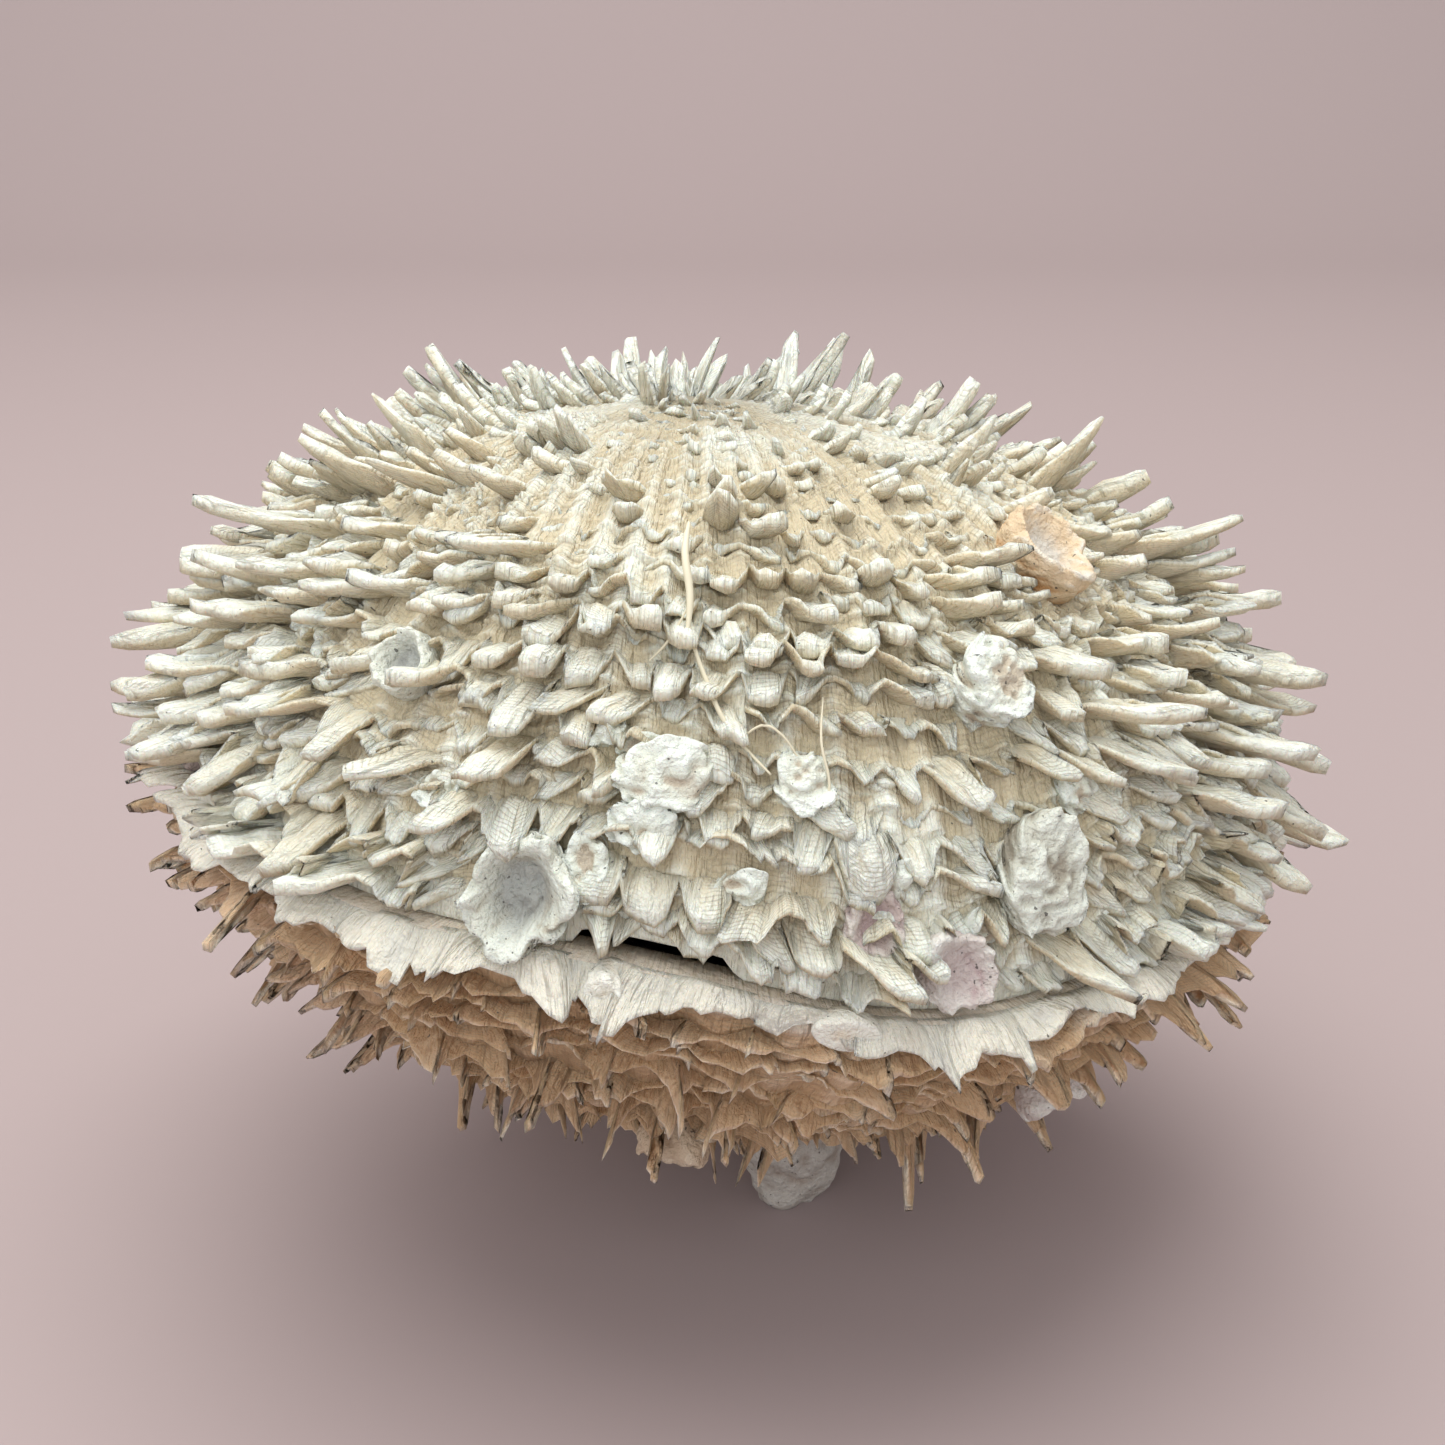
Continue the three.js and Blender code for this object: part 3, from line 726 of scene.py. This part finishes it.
    top = layer(thick / 2 + arch + (groove + knobs) * smooth(w, 0.1, 0.3))
    under = layer(-thick / 2 + arch * 0.6 - 0.5 * knobs)
    points = np.concatenate([top, under[::-1]], 0)
    points[..., 2] = points[..., 2].clip(0.3)
    # The mark for the finish: random from spine to spine and paler when young. It rises to the
    # tips, which take painted highlight, partly chalk white, and lies low on the undersides, which
    # take tan as painted shade.
    tone = 0.5 * (chance(rib, row, salt + 16)[:, None] - 0.5) + 0.8 * (1 - smooth(growth, .2, .5))
    tone_and_painted_light = np.concatenate([tone[None] + 0.15 + 0.95 * w ** 1.5 * finger[None],
                            (tone[None] - 0.55 + 0.5 * w ** 2 * finger[None])[::-1]], 0)
    shape = (points.shape[0], ribs * len(ACROSS))
    streak = SPINE_LINES * (reach[None] - length) + 0.5 * row
    streak = np.concatenate([streak, streak[::-1] + 2 * w], 0).reshape(shape)
    lane = np.mod(rib[:, None] + 0.5 + q / 2 - ribs / 4, ribs)
    run = SPINE_LANES * np.broadcast_to(lane[None], points.shape[:3]).reshape(shape)
    old = np.broadcast_to(growth[None], points.shape[:3]).reshape(shape)
    return points.reshape(*shape, 3), np.stack([streak, run], -1), tone_and_painted_light.reshape(shape), old


def crown_piece(name, valve, rows, ribs, lime):
    """A run of crowns as one piece, each closed in itself."""
    points, uvs, tone_and_painted_light, grown = zip(*[crown(valve, row, ribs) for row in rows])
    piece = grid_piece(name, points, uvs, {"raised": tone_and_painted_light, "grown": grown}, (True, True), False)
    piece.data.materials.append(lime)
    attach(piece, "root")
    return piece


# bearing, growth, long, wide, thick, lean, heading, curl, square
UPPER["heroes"] = [
    (-168, .90, 14, 5.5, 1.6, 60, -20, .05, 0), (-157, .83, 15, 4.5, 1.6, 45, 0, .1, 0),
    (-166, .78, 15, 5.5, 1.6, 50, 0, .1, 0), (-170, .70, 14, 6.0, 2.2, 55, 0, .05, 1),
    (-176, .58, 11, 5.5, 2.4, 70, 0, 0, 1), (176, .50, 9, 4.5, 2.2, 70, 0, 0, 1),
    (160, .45, 10, 4.0, 2.0, 70, 0, 0, 0), (105, .45, 10, 6.0, 2.0, 70, 0, 0, 1),
    (60, .40, 10, 4.5, 1.8, 75, 0, 0, 0), (40, .40, 15, 5.0, 2.2, 66, 25, 0, 1),
    (-2, .50, 11, 4.5, 2.0, 60, 0, 0, 0), (-12, .55, 12, 4.5, 2.0, 55, 0, .1, 0),
    (-6, .66, 13, 5.5, 1.6, 58, 15, .05, 0), (-10, .74, 15, 6.0, 1.6, 52, 10, .05, 0),
    (-16, .80, 14, 4.5, 1.8, 50, 0, .1, 0), (-18, .88, 14, 5.5, 1.5, 50, 0, .05, 0),
    (-20, .95, 13, 5.5, 1.5, 48, 0, .05, 0), (-94, .47, 8, 4.5, 1.2, 72, 0, 0, 0),
    (-80, .84, 11, 7.5, 2.2, 34, 6, -.35, 0), (-101, .885, 8, 7.0, 1.1, 46, -8, -.2, 0),
    (-95.5, .89, 7.5, 6.5, 1.1, 50, 4, -.3, 0), (-90, .885, 6, 5.0, 1.3, 44, 0, -.1, 1)]
UPPER.update(first=0.05, last=0.985, web=3.6, breadth=1.0, stout=0.34, arch=0.9, broken=0.3,
             ragged=0.22, clear=1.6, sweep=26, lift=20, sheet=0.7, furrow=0.15,
             fan=0.6, sheets_from=0.32)

for title, rows, ribs in (("upper_spines_young", range(0, 7), 38),
                          ("upper_spines_middle", range(7, 14), 76),
                          ("upper_spines_outer", range(14, 21), 76),
                          ("upper_spines_rim", range(21, 27), 76)):
    crown_piece(title, UPPER, rows, ribs, upper_lime)


# Lower valve, the deeper half that once sat on the reef. The same lime, but warmer and in
# looser, leafier sheets, hollow as a bowl, with a big beak behind and a flat scar below.
LOWER = dict(side=-1, wide=67.5, deep=60.0, beak=(-3, 12), grow=1.4, power=2.2, round=0.72,
             height=40.0, lean=(90, 72, 80), length=(5.6, 0.6, 1.4), salt=11, ribs=56, rows=15,
             sheets=2, ledge=0.8, relief=0.6)
LOWER["spots"] = [(shell_form(LOWER, np.radians(-45), np.array(.72)), 5.5),
                  (shell_form(LOWER, np.radians(-91), np.array(.56)), 5.0)]
SAND = (0.86, 0.76, 0.62)
PEACH = (0.82, 0.64, 0.47)
# The brown below is painted shade in the lower valve's hollows and under its leaves, partly stain,
# and its streak colour; the sand above is partly painted highlight on ridges and tips.
BROWN_SHADE_AND_STREAK = (0.55, 0.37, 0.22)
BLUSH = (0.78, 0.58, 0.47)
TAN_INSIDE = (0.5, 0.42, 0.36)
SAND_EDGE = (0.82, 0.76, 0.66)
lower_lime = shell_lime("lower_lime", SAND, PEACH, BROWN_SHADE_AND_STREAK, BLUSH, TAN_INSIDE, SAND_EDGE)

lower_body = valve_body("lower_body", LOWER, 300, 224, 20)
lower_body.data.materials.append(lower_lime)
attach(lower_body, "root")
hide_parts("lower_valve")

# bearing, growth, long, wide, thick, lean, heading, curl, square
LOWER["heroes"] = [
    (-132, .91, 9, 5.0, 1.4, 84, 0, -.1, 0), (-142, .92, 9, 5.0, 1.4, 84, 0, -.1, 0),
    (-151, .91, 8, 5.0, 1.4, 84, 0, -.1, 1), (-105, .75, 10, 5.5, 1.2, 70, 0, 0, 1),
    (-99, .70, 10, 5.5, 1.2, 70, 0, 0, 0), (-91, .60, 14, 7.0, 1.8, 66, 0, 0, 1),
    (-60, .74, 12, 6.0, 1.6, 62, 10, 0, 0), (-42, .80, 9, 5.0, 1.5, 75, 0, 0, 0),
    (-38, .95, 10, 5.0, 1.6, 85, 0, 0, 0)]
LOWER.update(first=0.30, last=0.97, web=2.8, breadth=1.65, stout=0.24, arch=0.9, broken=0.55,
             ragged=0.34, clear=1.6, sweep=14, lift=0, sheet=0.45, furrow=1.2,
             fan=1.0, sheets_from=0.1)
crown_piece("lower_leaves_deep", LOWER, range(0, 8), 56, lower_lime)
crown_piece("lower_leaves_rim", LOWER, range(8, 15), 56, lower_lime)


# Lip of the lower valve: the newest sheet, a clean white scalloped frill that hangs out
# over the older leaves along the front.
# bearing, growth, long, wide, thick, lean, heading, curl, square
LEFT_BLADES = [
    (-122, .99, 8, 4.5, 1.4, 104, -8, -.1, 0), (-130, .99, 10, 5.0, 1.5, 100, -12, -.1, 0),
    (-138, .99, 10, 5.0, 1.5, 98, -12, -.1, 0), (-146, .99, 9, 5.0, 1.4, 98, -10, -.1, 1),
    (-155, .99, 8, 4.5, 1.4, 98, -8, -.1, 0), (-164, .99, 7, 4.5, 1.4, 98, 0, -.1, 0)]
LIP_CREAM = (0.74, 0.73, 0.66)
# The tan below is painted shade in the lip's hollows and under its teeth, partly stain, and its
# streak colour.
LIP_TAN = (0.62, 0.55, 0.44)
LIP_EDGE = (0.81, 0.78, 0.69)


def lip_measures():
    """The lower valve's values with one row of broad, low teeth at the rim."""
    return dict(LOWER, heroes=LEFT_BLADES, rows=1, first=0.994, last=0.9995, web=3.6,
                length=(6.0, -1.0, -3.5), lean=(118, 118, 96), breadth=1.25, stout=0.14,
                arch=1.4, broken=0.2, ragged=0.2, salt=23, clear=-9.0, sweep=0, lift=0,
                spots=[])


lip_lime = shell_lime("lip_lime", PALE, LIP_CREAM, LIP_TAN, PINKISH, TAN_INSIDE, LIP_EDGE)
crown_piece("lower_lip", lip_measures(), [0], 46, lip_lime)


# Knob of reef under the front of the lower valve: a stub of the dead coral that the shell
# grew against, broken off with it. It reaches the floor.
KNOB = dict(x=9.0, y=-38.0, at=(0.0, 2, 7, 12, 16, 19, 22),
            radius=(4.2, 5.4, 6.2, 7.4, 7.6, 7.2, 5.0))


def reef_knob():
    """A lumpy post: a radius read off its height, roughened by two sizes of noise."""
    angle = np.linspace(0, 2 * np.pi, 64, endpoint=False)[None, :]
    height = np.linspace(0, KNOB["at"][-1], 56)[:, None]
    lap = angle / (2 * np.pi)
    fine = wander(lap * 20, height / 1.3, 32, 20)
    radius = np.interp(height, KNOB["at"], KNOB["radius"]) + 0 * angle
    radius = (radius * (1 + 0.10 * np.sin(2 * angle + 0.6))
              + 0.8 * wander(lap * 7, height / 4, 31, 7) + 0.45 * fine - 0.4)
    points = np.stack([KNOB["x"] + radius * np.cos(angle), KNOB["y"] + radius * np.sin(angle),
                       height + 0 * angle], -1)
    grown = height / 30 + 0 * angle
    return grid_piece("reef_knob", [points], [np.stack([lap + 0 * height, grown], -1)],
                      {"raised": [0.5 * fine], "grown": [grown]})


def crust_finish(name, body, high, low, dish, speck):
    """Finish of a small crust or shell: its body mottled by noise towards a high and a low
    colour, an inside of its own spotted with the speck colour, and specks of dirt."""
    paint = Finish(name)
    raised, inner = paint.attribute("raised"), paint.attribute("inner")
    patch, grain = paint.noise(420, 4), paint.noise(1700, 3)
    colour = paint.blend((raised + 0.9 * (patch - 0.5)).step(-0.7, 0.1), low, body)
    colour = paint.blend((raised + 1.2 * (patch - 0.5)).step(0.3, 1.0), colour, high)
    inside = paint.blend(paint.noise(330, 5).step(0.46, 0.72) * 0.7, dish, speck)
    colour = paint.blend(inner, colour, inside)
    colour = paint.blend(paint.noise(1400, 1).step(0.72, 0.76) * 0.8, colour, DIRT)
    return paint.surface(colour, 0.6 + 0.25 * patch, 0.8 * patch + 0.4 * grain, 0.0014, 0.1)


CORAL_GREY = (0.50, 0.46, 0.42)
knob = reef_knob()
knob.data.materials.append(crust_finish("reef_coral", CORAL_GREY, (0.6, 0.57, 0.53),
                                        (0.34, 0.27, 0.22), CORAL_GREY, CORAL_GREY))
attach(knob, "root")


# Small shells and crusts that settled on the valves. A cup is a ragged rim round a dish,
# a knob a lumpy heap, and a flake a thin arched plate; each is rooted in the lime below.
CRUST_ROOT = 1.6
PROFILE_AT = (0, .12, .34, .46, .52, .58, .74, 1)


def crust_grid(valve, bearing, growth, wide, long, high, hollow, lobes, rough, salt,
               frill=0.12, size=(44, 110)):
    """A turned form drawn out to its width and length: up the outside from the root to the
    rim, over it and down to the middle of the dish. The rim waves by lobes and finer noise
    in height and reach, and the sides are lumpy."""
    rows, columns = size
    angle = np.linspace(0, 2 * np.pi, columns, endpoint=False)[None, :]
    lap = angle / (2 * np.pi)
    way = np.linspace(0, 1, rows)[:, None]
    dish = hollow if hollow > 0 else -0.06 * high
    radius = np.interp(way, PROFILE_AT, (0.30, 0.46, 0.50, 0.47, 0.42, 0.36, 0.22, 0.02))
    rim = np.interp(way, PROFILE_AT, (-CRUST_ROOT, -0.4, 0.62 * high, 0.93 * high, high,
                                      high - 0.25 * dish, high - 0.9 * dish, high - dish))
    near_rim = np.interp(way, PROFILE_AT, (0, 0.1, 0.55, 0.9, 1, 0.9, 0.35, 0))
    wave = (0.05 * np.sin(lobes * angle + salt)
            + 1.3 * frill * wander(lap * lobes * 2, way * 0 + salt, salt, lobes * 2))
    teeth = frill * wander(lap * lobes * 7, way * 0 + salt, salt + 1, lobes * 7)
    stretch = radius * (1 + near_rim * (wave + 0.5 * teeth))
    flat_x, flat_z = radius * np.cos(angle) * wide, radius * np.sin(angle) * long
    flat_x, flat_z = flat_x + 0.8 * rim, flat_z - 1.1 * rim
    lumps = rough * (wander(flat_x / 2.2 + 40, flat_z / 2.2 + 70, salt + 2)
                     + 0.8 * wander(flat_x / 0.8 + 90, flat_z / 0.8 + 70, salt + 3))
    side = np.interp(way, PROFILE_AT, (0, 0.6, 1, 0.7, 0.4, 0.4, 0.6, 0.3))
    height = rim + near_rim * high * (hollow > 0) * (0.5 * wave + 0.8 * teeth) + lumps * side * 0.7
    place, along, across, out = shell_frame(valve, np.radians(bearing), np.array(growth))
    reach = stretch * (1 + side * lumps / max(wide, long))
    points = (place + across * (reach * np.cos(angle) * wide)[..., None]
              + along * (reach * np.sin(angle) * long)[..., None] + out * height[..., None])
    inner = smooth(way, 0.57, 0.80) * (hollow > 0) + 0 * angle
    raised = lumps * 0.8 + near_rim - 0.4
    grid_values = {"raised": [raised], "inner": [inner], "grown": [way + 0 * angle]}
    return [points], [np.stack([lap + 0 * way, way + 0 * angle], -1)], grid_values


def crust(node, slot, lime, **shape):
    """Makes one crust's piece in place of its solid."""
    grids, uvs, values = crust_grid(**shape)
    piece = grid_piece(node + "_form", grids, uvs, values)
    piece.data.materials.append(lime)
    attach(piece, "root")
    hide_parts(node)


BONE = (0.665, 0.68, 0.60)
spat_lime = crust_finish("spat_lime", BONE, (0.74, 0.77, 0.70), (0.52, 0.49, 0.40),
                         (0.42, 0.43, 0.405), (0.17, 0.155, 0.14))
chalk_lime = crust_finish("chalk_lime", (0.71, 0.73, 0.64), (0.79, 0.83, 0.765),
                          (0.54, 0.47, 0.37), BONE, BONE)
grey_lime = crust_finish("grey_lime", (0.55, 0.55, 0.475), (0.68, 0.70, 0.63), (0.36, 0.325, 0.26),
                         BONE, BONE)
pink_lime = crust_finish("pink_lime", (0.62, 0.56, 0.53), (0.73, 0.71, 0.67), (0.42, 0.27, 0.28),
                         (0.58, 0.50, 0.48), (0.34, 0.19, 0.22))
orange_lime = crust_finish("orange_lime", (0.70, 0.54, 0.36), (0.72, 0.68, 0.60),
                           (0.56, 0.27, 0.09), (0.62, 0.58, 0.52), (0.55, 0.36, 0.2))

crust("cup_oyster_spat", "oyster_spat", spat_lime, valve=UPPER, bearing=-109, growth=.95,
      wide=9.8, long=13, high=4.4, hollow=3.2, lobes=4, salt=1, rough=1.6, frill=0.2)
crust("small_cup_spat", "oyster_spat", spat_lime, valve=UPPER, bearing=-126, growth=.74,
      wide=7, long=7.5, high=3.6, hollow=2.4, lobes=5, salt=2, rough=0.35)
crust("coral_knob", "chalk_crust", chalk_lime, valve=UPPER, bearing=-63, growth=.685,
      wide=7.5, long=8, high=5.6, hollow=0, lobes=3, salt=3, rough=1.5, frill=0.07)
crust("chalky_crust", "chalk_crust", chalk_lime, valve=UPPER, bearing=-97, growth=.81,
      wide=10, long=7, high=3.3, hollow=0, lobes=3, salt=4, rough=1.4, frill=0.09)
crust("grey_crust", "chalk_crust", grey_lime, valve=UPPER, bearing=-60, growth=.875,
      wide=9.5, long=13, high=4.2, hollow=0, lobes=3, salt=5, rough=1.4, frill=0.08)
crust("pink_shell_scrap", "pink_crust", pink_lime, valve=UPPER, bearing=-69, growth=.955,
      wide=8, long=9, high=3.4, hollow=1.6, lobes=4, salt=6, rough=0.6, frill=0.15)
crust("orange_cup_flake", "orange_flake", orange_lime, valve=UPPER, bearing=-44, growth=.53,
      wide=10, long=12, high=4.4, hollow=2.8, lobes=5, salt=7, rough=0.5, frill=0.15)
crust("reddish_crust", "pink_crust", pink_lime, valve=LOWER, bearing=-45, growth=.72,
      wide=8, long=9, high=4.8, hollow=2.0, lobes=4, salt=8, rough=0.6, frill=0.14)


# Smaller growths that have no solid of their own: chalk nodules among the front spines, a
# ribbed scrap and a purple one by the seam, and on the lower valve a smooth swelling of the
# lip and an old borer's pit.
def settled(title, lime, growths):
    """A set of small crusts as one piece, each from its own values."""
    grids, uvs, marks = [], [], {"raised": [], "inner": [], "grown": []}
    for growth in growths:
        made, pair, values = crust_grid(size=(26, 60), **growth)
        grids += made
        uvs += pair
        for name in marks:
            marks[name] += values[name]
    piece = grid_piece(title, grids, uvs, marks)
    piece.data.materials.append(lime)
    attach(piece, "root")


NODULE_MEASURES = ("bearing", "growth", "wide", "long", "high")
NODULES = [(-104, .770, 4.5, 4.0, 2.0), (-99, .785, 6.5, 3.5, 2.2), (-84, .790, 5.5, 6.5, 2.6),
           (-75, .875, 4.5, 4.0, 1.8), (-89, .905, 5.0, 3.5, 1.8), (-119, .865, 4.0, 3.5, 1.6),
           (-54, .800, 4.5, 5.5, 2.0), (-66, .920, 5.0, 4.0, 1.8), (-103.5, .915, 4.5, 7.0, 2.4),
           (-98.5, .865, 7.0, 5.0, 2.6)]
settled("chalk_nodules", chalk_lime, [
    dict(zip(NODULE_MEASURES, nodule), valve=UPPER, hollow=0, lobes=3, frill=.07, rough=1.6,
         salt=20 + number) for number, nodule in enumerate(NODULES)])
plum_lime = crust_finish("plum_lime", (0.54, 0.44, 0.42), (0.69, 0.63, 0.59),
                         (0.34, 0.22, 0.23), (0.42, 0.31, 0.31), (0.20, 0.12, 0.13))
settled("plum_scraps", plum_lime, [
    dict(valve=UPPER, bearing=-77, growth=.915, wide=6.5, long=7, high=2.4, hollow=1.0, lobes=6,
         frill=.12, rough=0.7, salt=41),
    dict(valve=UPPER, bearing=-163, growth=.965, wide=9, long=7, high=2.6, hollow=1.8, lobes=3,
         frill=.16, rough=0.7, salt=42)])
lip_white = crust_finish("lip_white", (0.80, 0.78, 0.70), (0.86, 0.86, 0.80),
                         (0.70, 0.62, 0.50), BONE, BONE)
settled("lip_swellings", lip_white, [
    dict(valve=LOWER, bearing=-79, growth=.985, wide=7.5, long=4.2, high=1.7, hollow=0, lobes=2,
         frill=.03, rough=0.25, salt=43),
    dict(valve=LOWER, bearing=-100, growth=.985, wide=4.0, long=3.6, high=3.2, hollow=0, lobes=2,
         frill=.06, rough=0.6, salt=44)])
# The pit's dish and specks are painted dark brown to near black as painted shade inside the hole.
pit_lime = crust_finish("pit_lime", (0.60, 0.47, 0.34), (0.68, 0.56, 0.43), (0.30, 0.19, 0.11),
                        (0.13, 0.075, 0.04), (0.05, 0.03, 0.02))
settled("borer_pit", pit_lime, [
    dict(valve=LOWER, bearing=-91, growth=.56, wide=9, long=9, high=5.5, hollow=5.0, lobes=3,
         frill=.08, rough=0.6, salt=45)])


# Threads. Dry pale fibres of some holdfast, caught on the front of the upper valve.
def thread(stops, radius):
    """A round thread through stops of bearing, growth and height above the shell, joined by
    cubics; its radius shrinks at both ends as a sine."""
    bearing, growth, height = np.array(stops, float).T
    way = np.linspace(0, len(bearing) - 1, 16 * (len(bearing) - 1) + 1)
    left = np.minimum(way.astype(int), len(bearing) - 2)
    part = way - left

    def through(values):
        """The values at every way: straight from stop to stop, pulled towards the slope of
        the stretches on either side."""
        before = values[np.maximum(left - 1, 0)]
        after = values[np.minimum(left + 2, len(values) - 1)]
        first, second = values[left], values[left + 1]
        straight = (second - first) * part + first
        pull = (first - before) * (1 - part) ** 2 * part
        pull = pull + (second - after) * part ** 2 * (1 - part)
        return straight + 0.5 * pull

    place, _, _, out = shell_frame(UPPER, np.radians(through(bearing)), through(growth))
    line = place + out * through(height)[:, None]
    ahead = unit(np.gradient(line, axis=0))
    side = unit(np.cross(ahead, out))
    turn = np.linspace(0, 2 * np.pi, 8, endpoint=False)[None, :, None]
    thin = radius * (0.35 + 0.65 * np.sin(np.pi * np.linspace(0.04, 0.96, len(way))))[:, None, None]
    ring = side[:, None] * np.cos(turn) + np.cross(side, ahead)[:, None] * np.sin(turn)
    return line[:, None] + thin * ring


FIBRE = (0.72, 0.66, 0.50)
THREADS = [
    ([(-97, .53, 5.0), (-97, .575, 5.6), (-96, .62, 4.6), (-96, .66, 3.6)], 0.42),
    ([(-96, .645, 3.8), (-95, .675, 3.0), (-93.6, .705, 2.4), (-92, .738, 2.6), (-90, .762, 2.0),
      (-87, .79, 2.4)], 0.26),
    ([(-96, .63, 4.4), (-98, .665, 2.6), (-100, .692, 2.2)], 0.16),
    ([(-90, .76, 2.2), (-88, .744, 3.4), (-86, .75, 3.0), (-84, .775, 2.0)], 0.15),
    ([(-82, .705, 3.0), (-82.4, .75, 3.2), (-81.6, .79, 2.6), (-82, .825, 2.0)], 0.15)]
thread_paint = Finish("thread_fibre")
thread_paint.shader.inputs["Base Color"].default_value = (*FIBRE, 1)
thread_paint.shader.inputs["Roughness"].default_value = 0.5
threads = [thread(stops, radius) for stops, radius in THREADS]
thread_piece = grid_piece("threads", threads, [grid[..., :2] for grid in threads], {})
thread_piece.data.materials.append(thread_paint.material)
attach(thread_piece, "root")
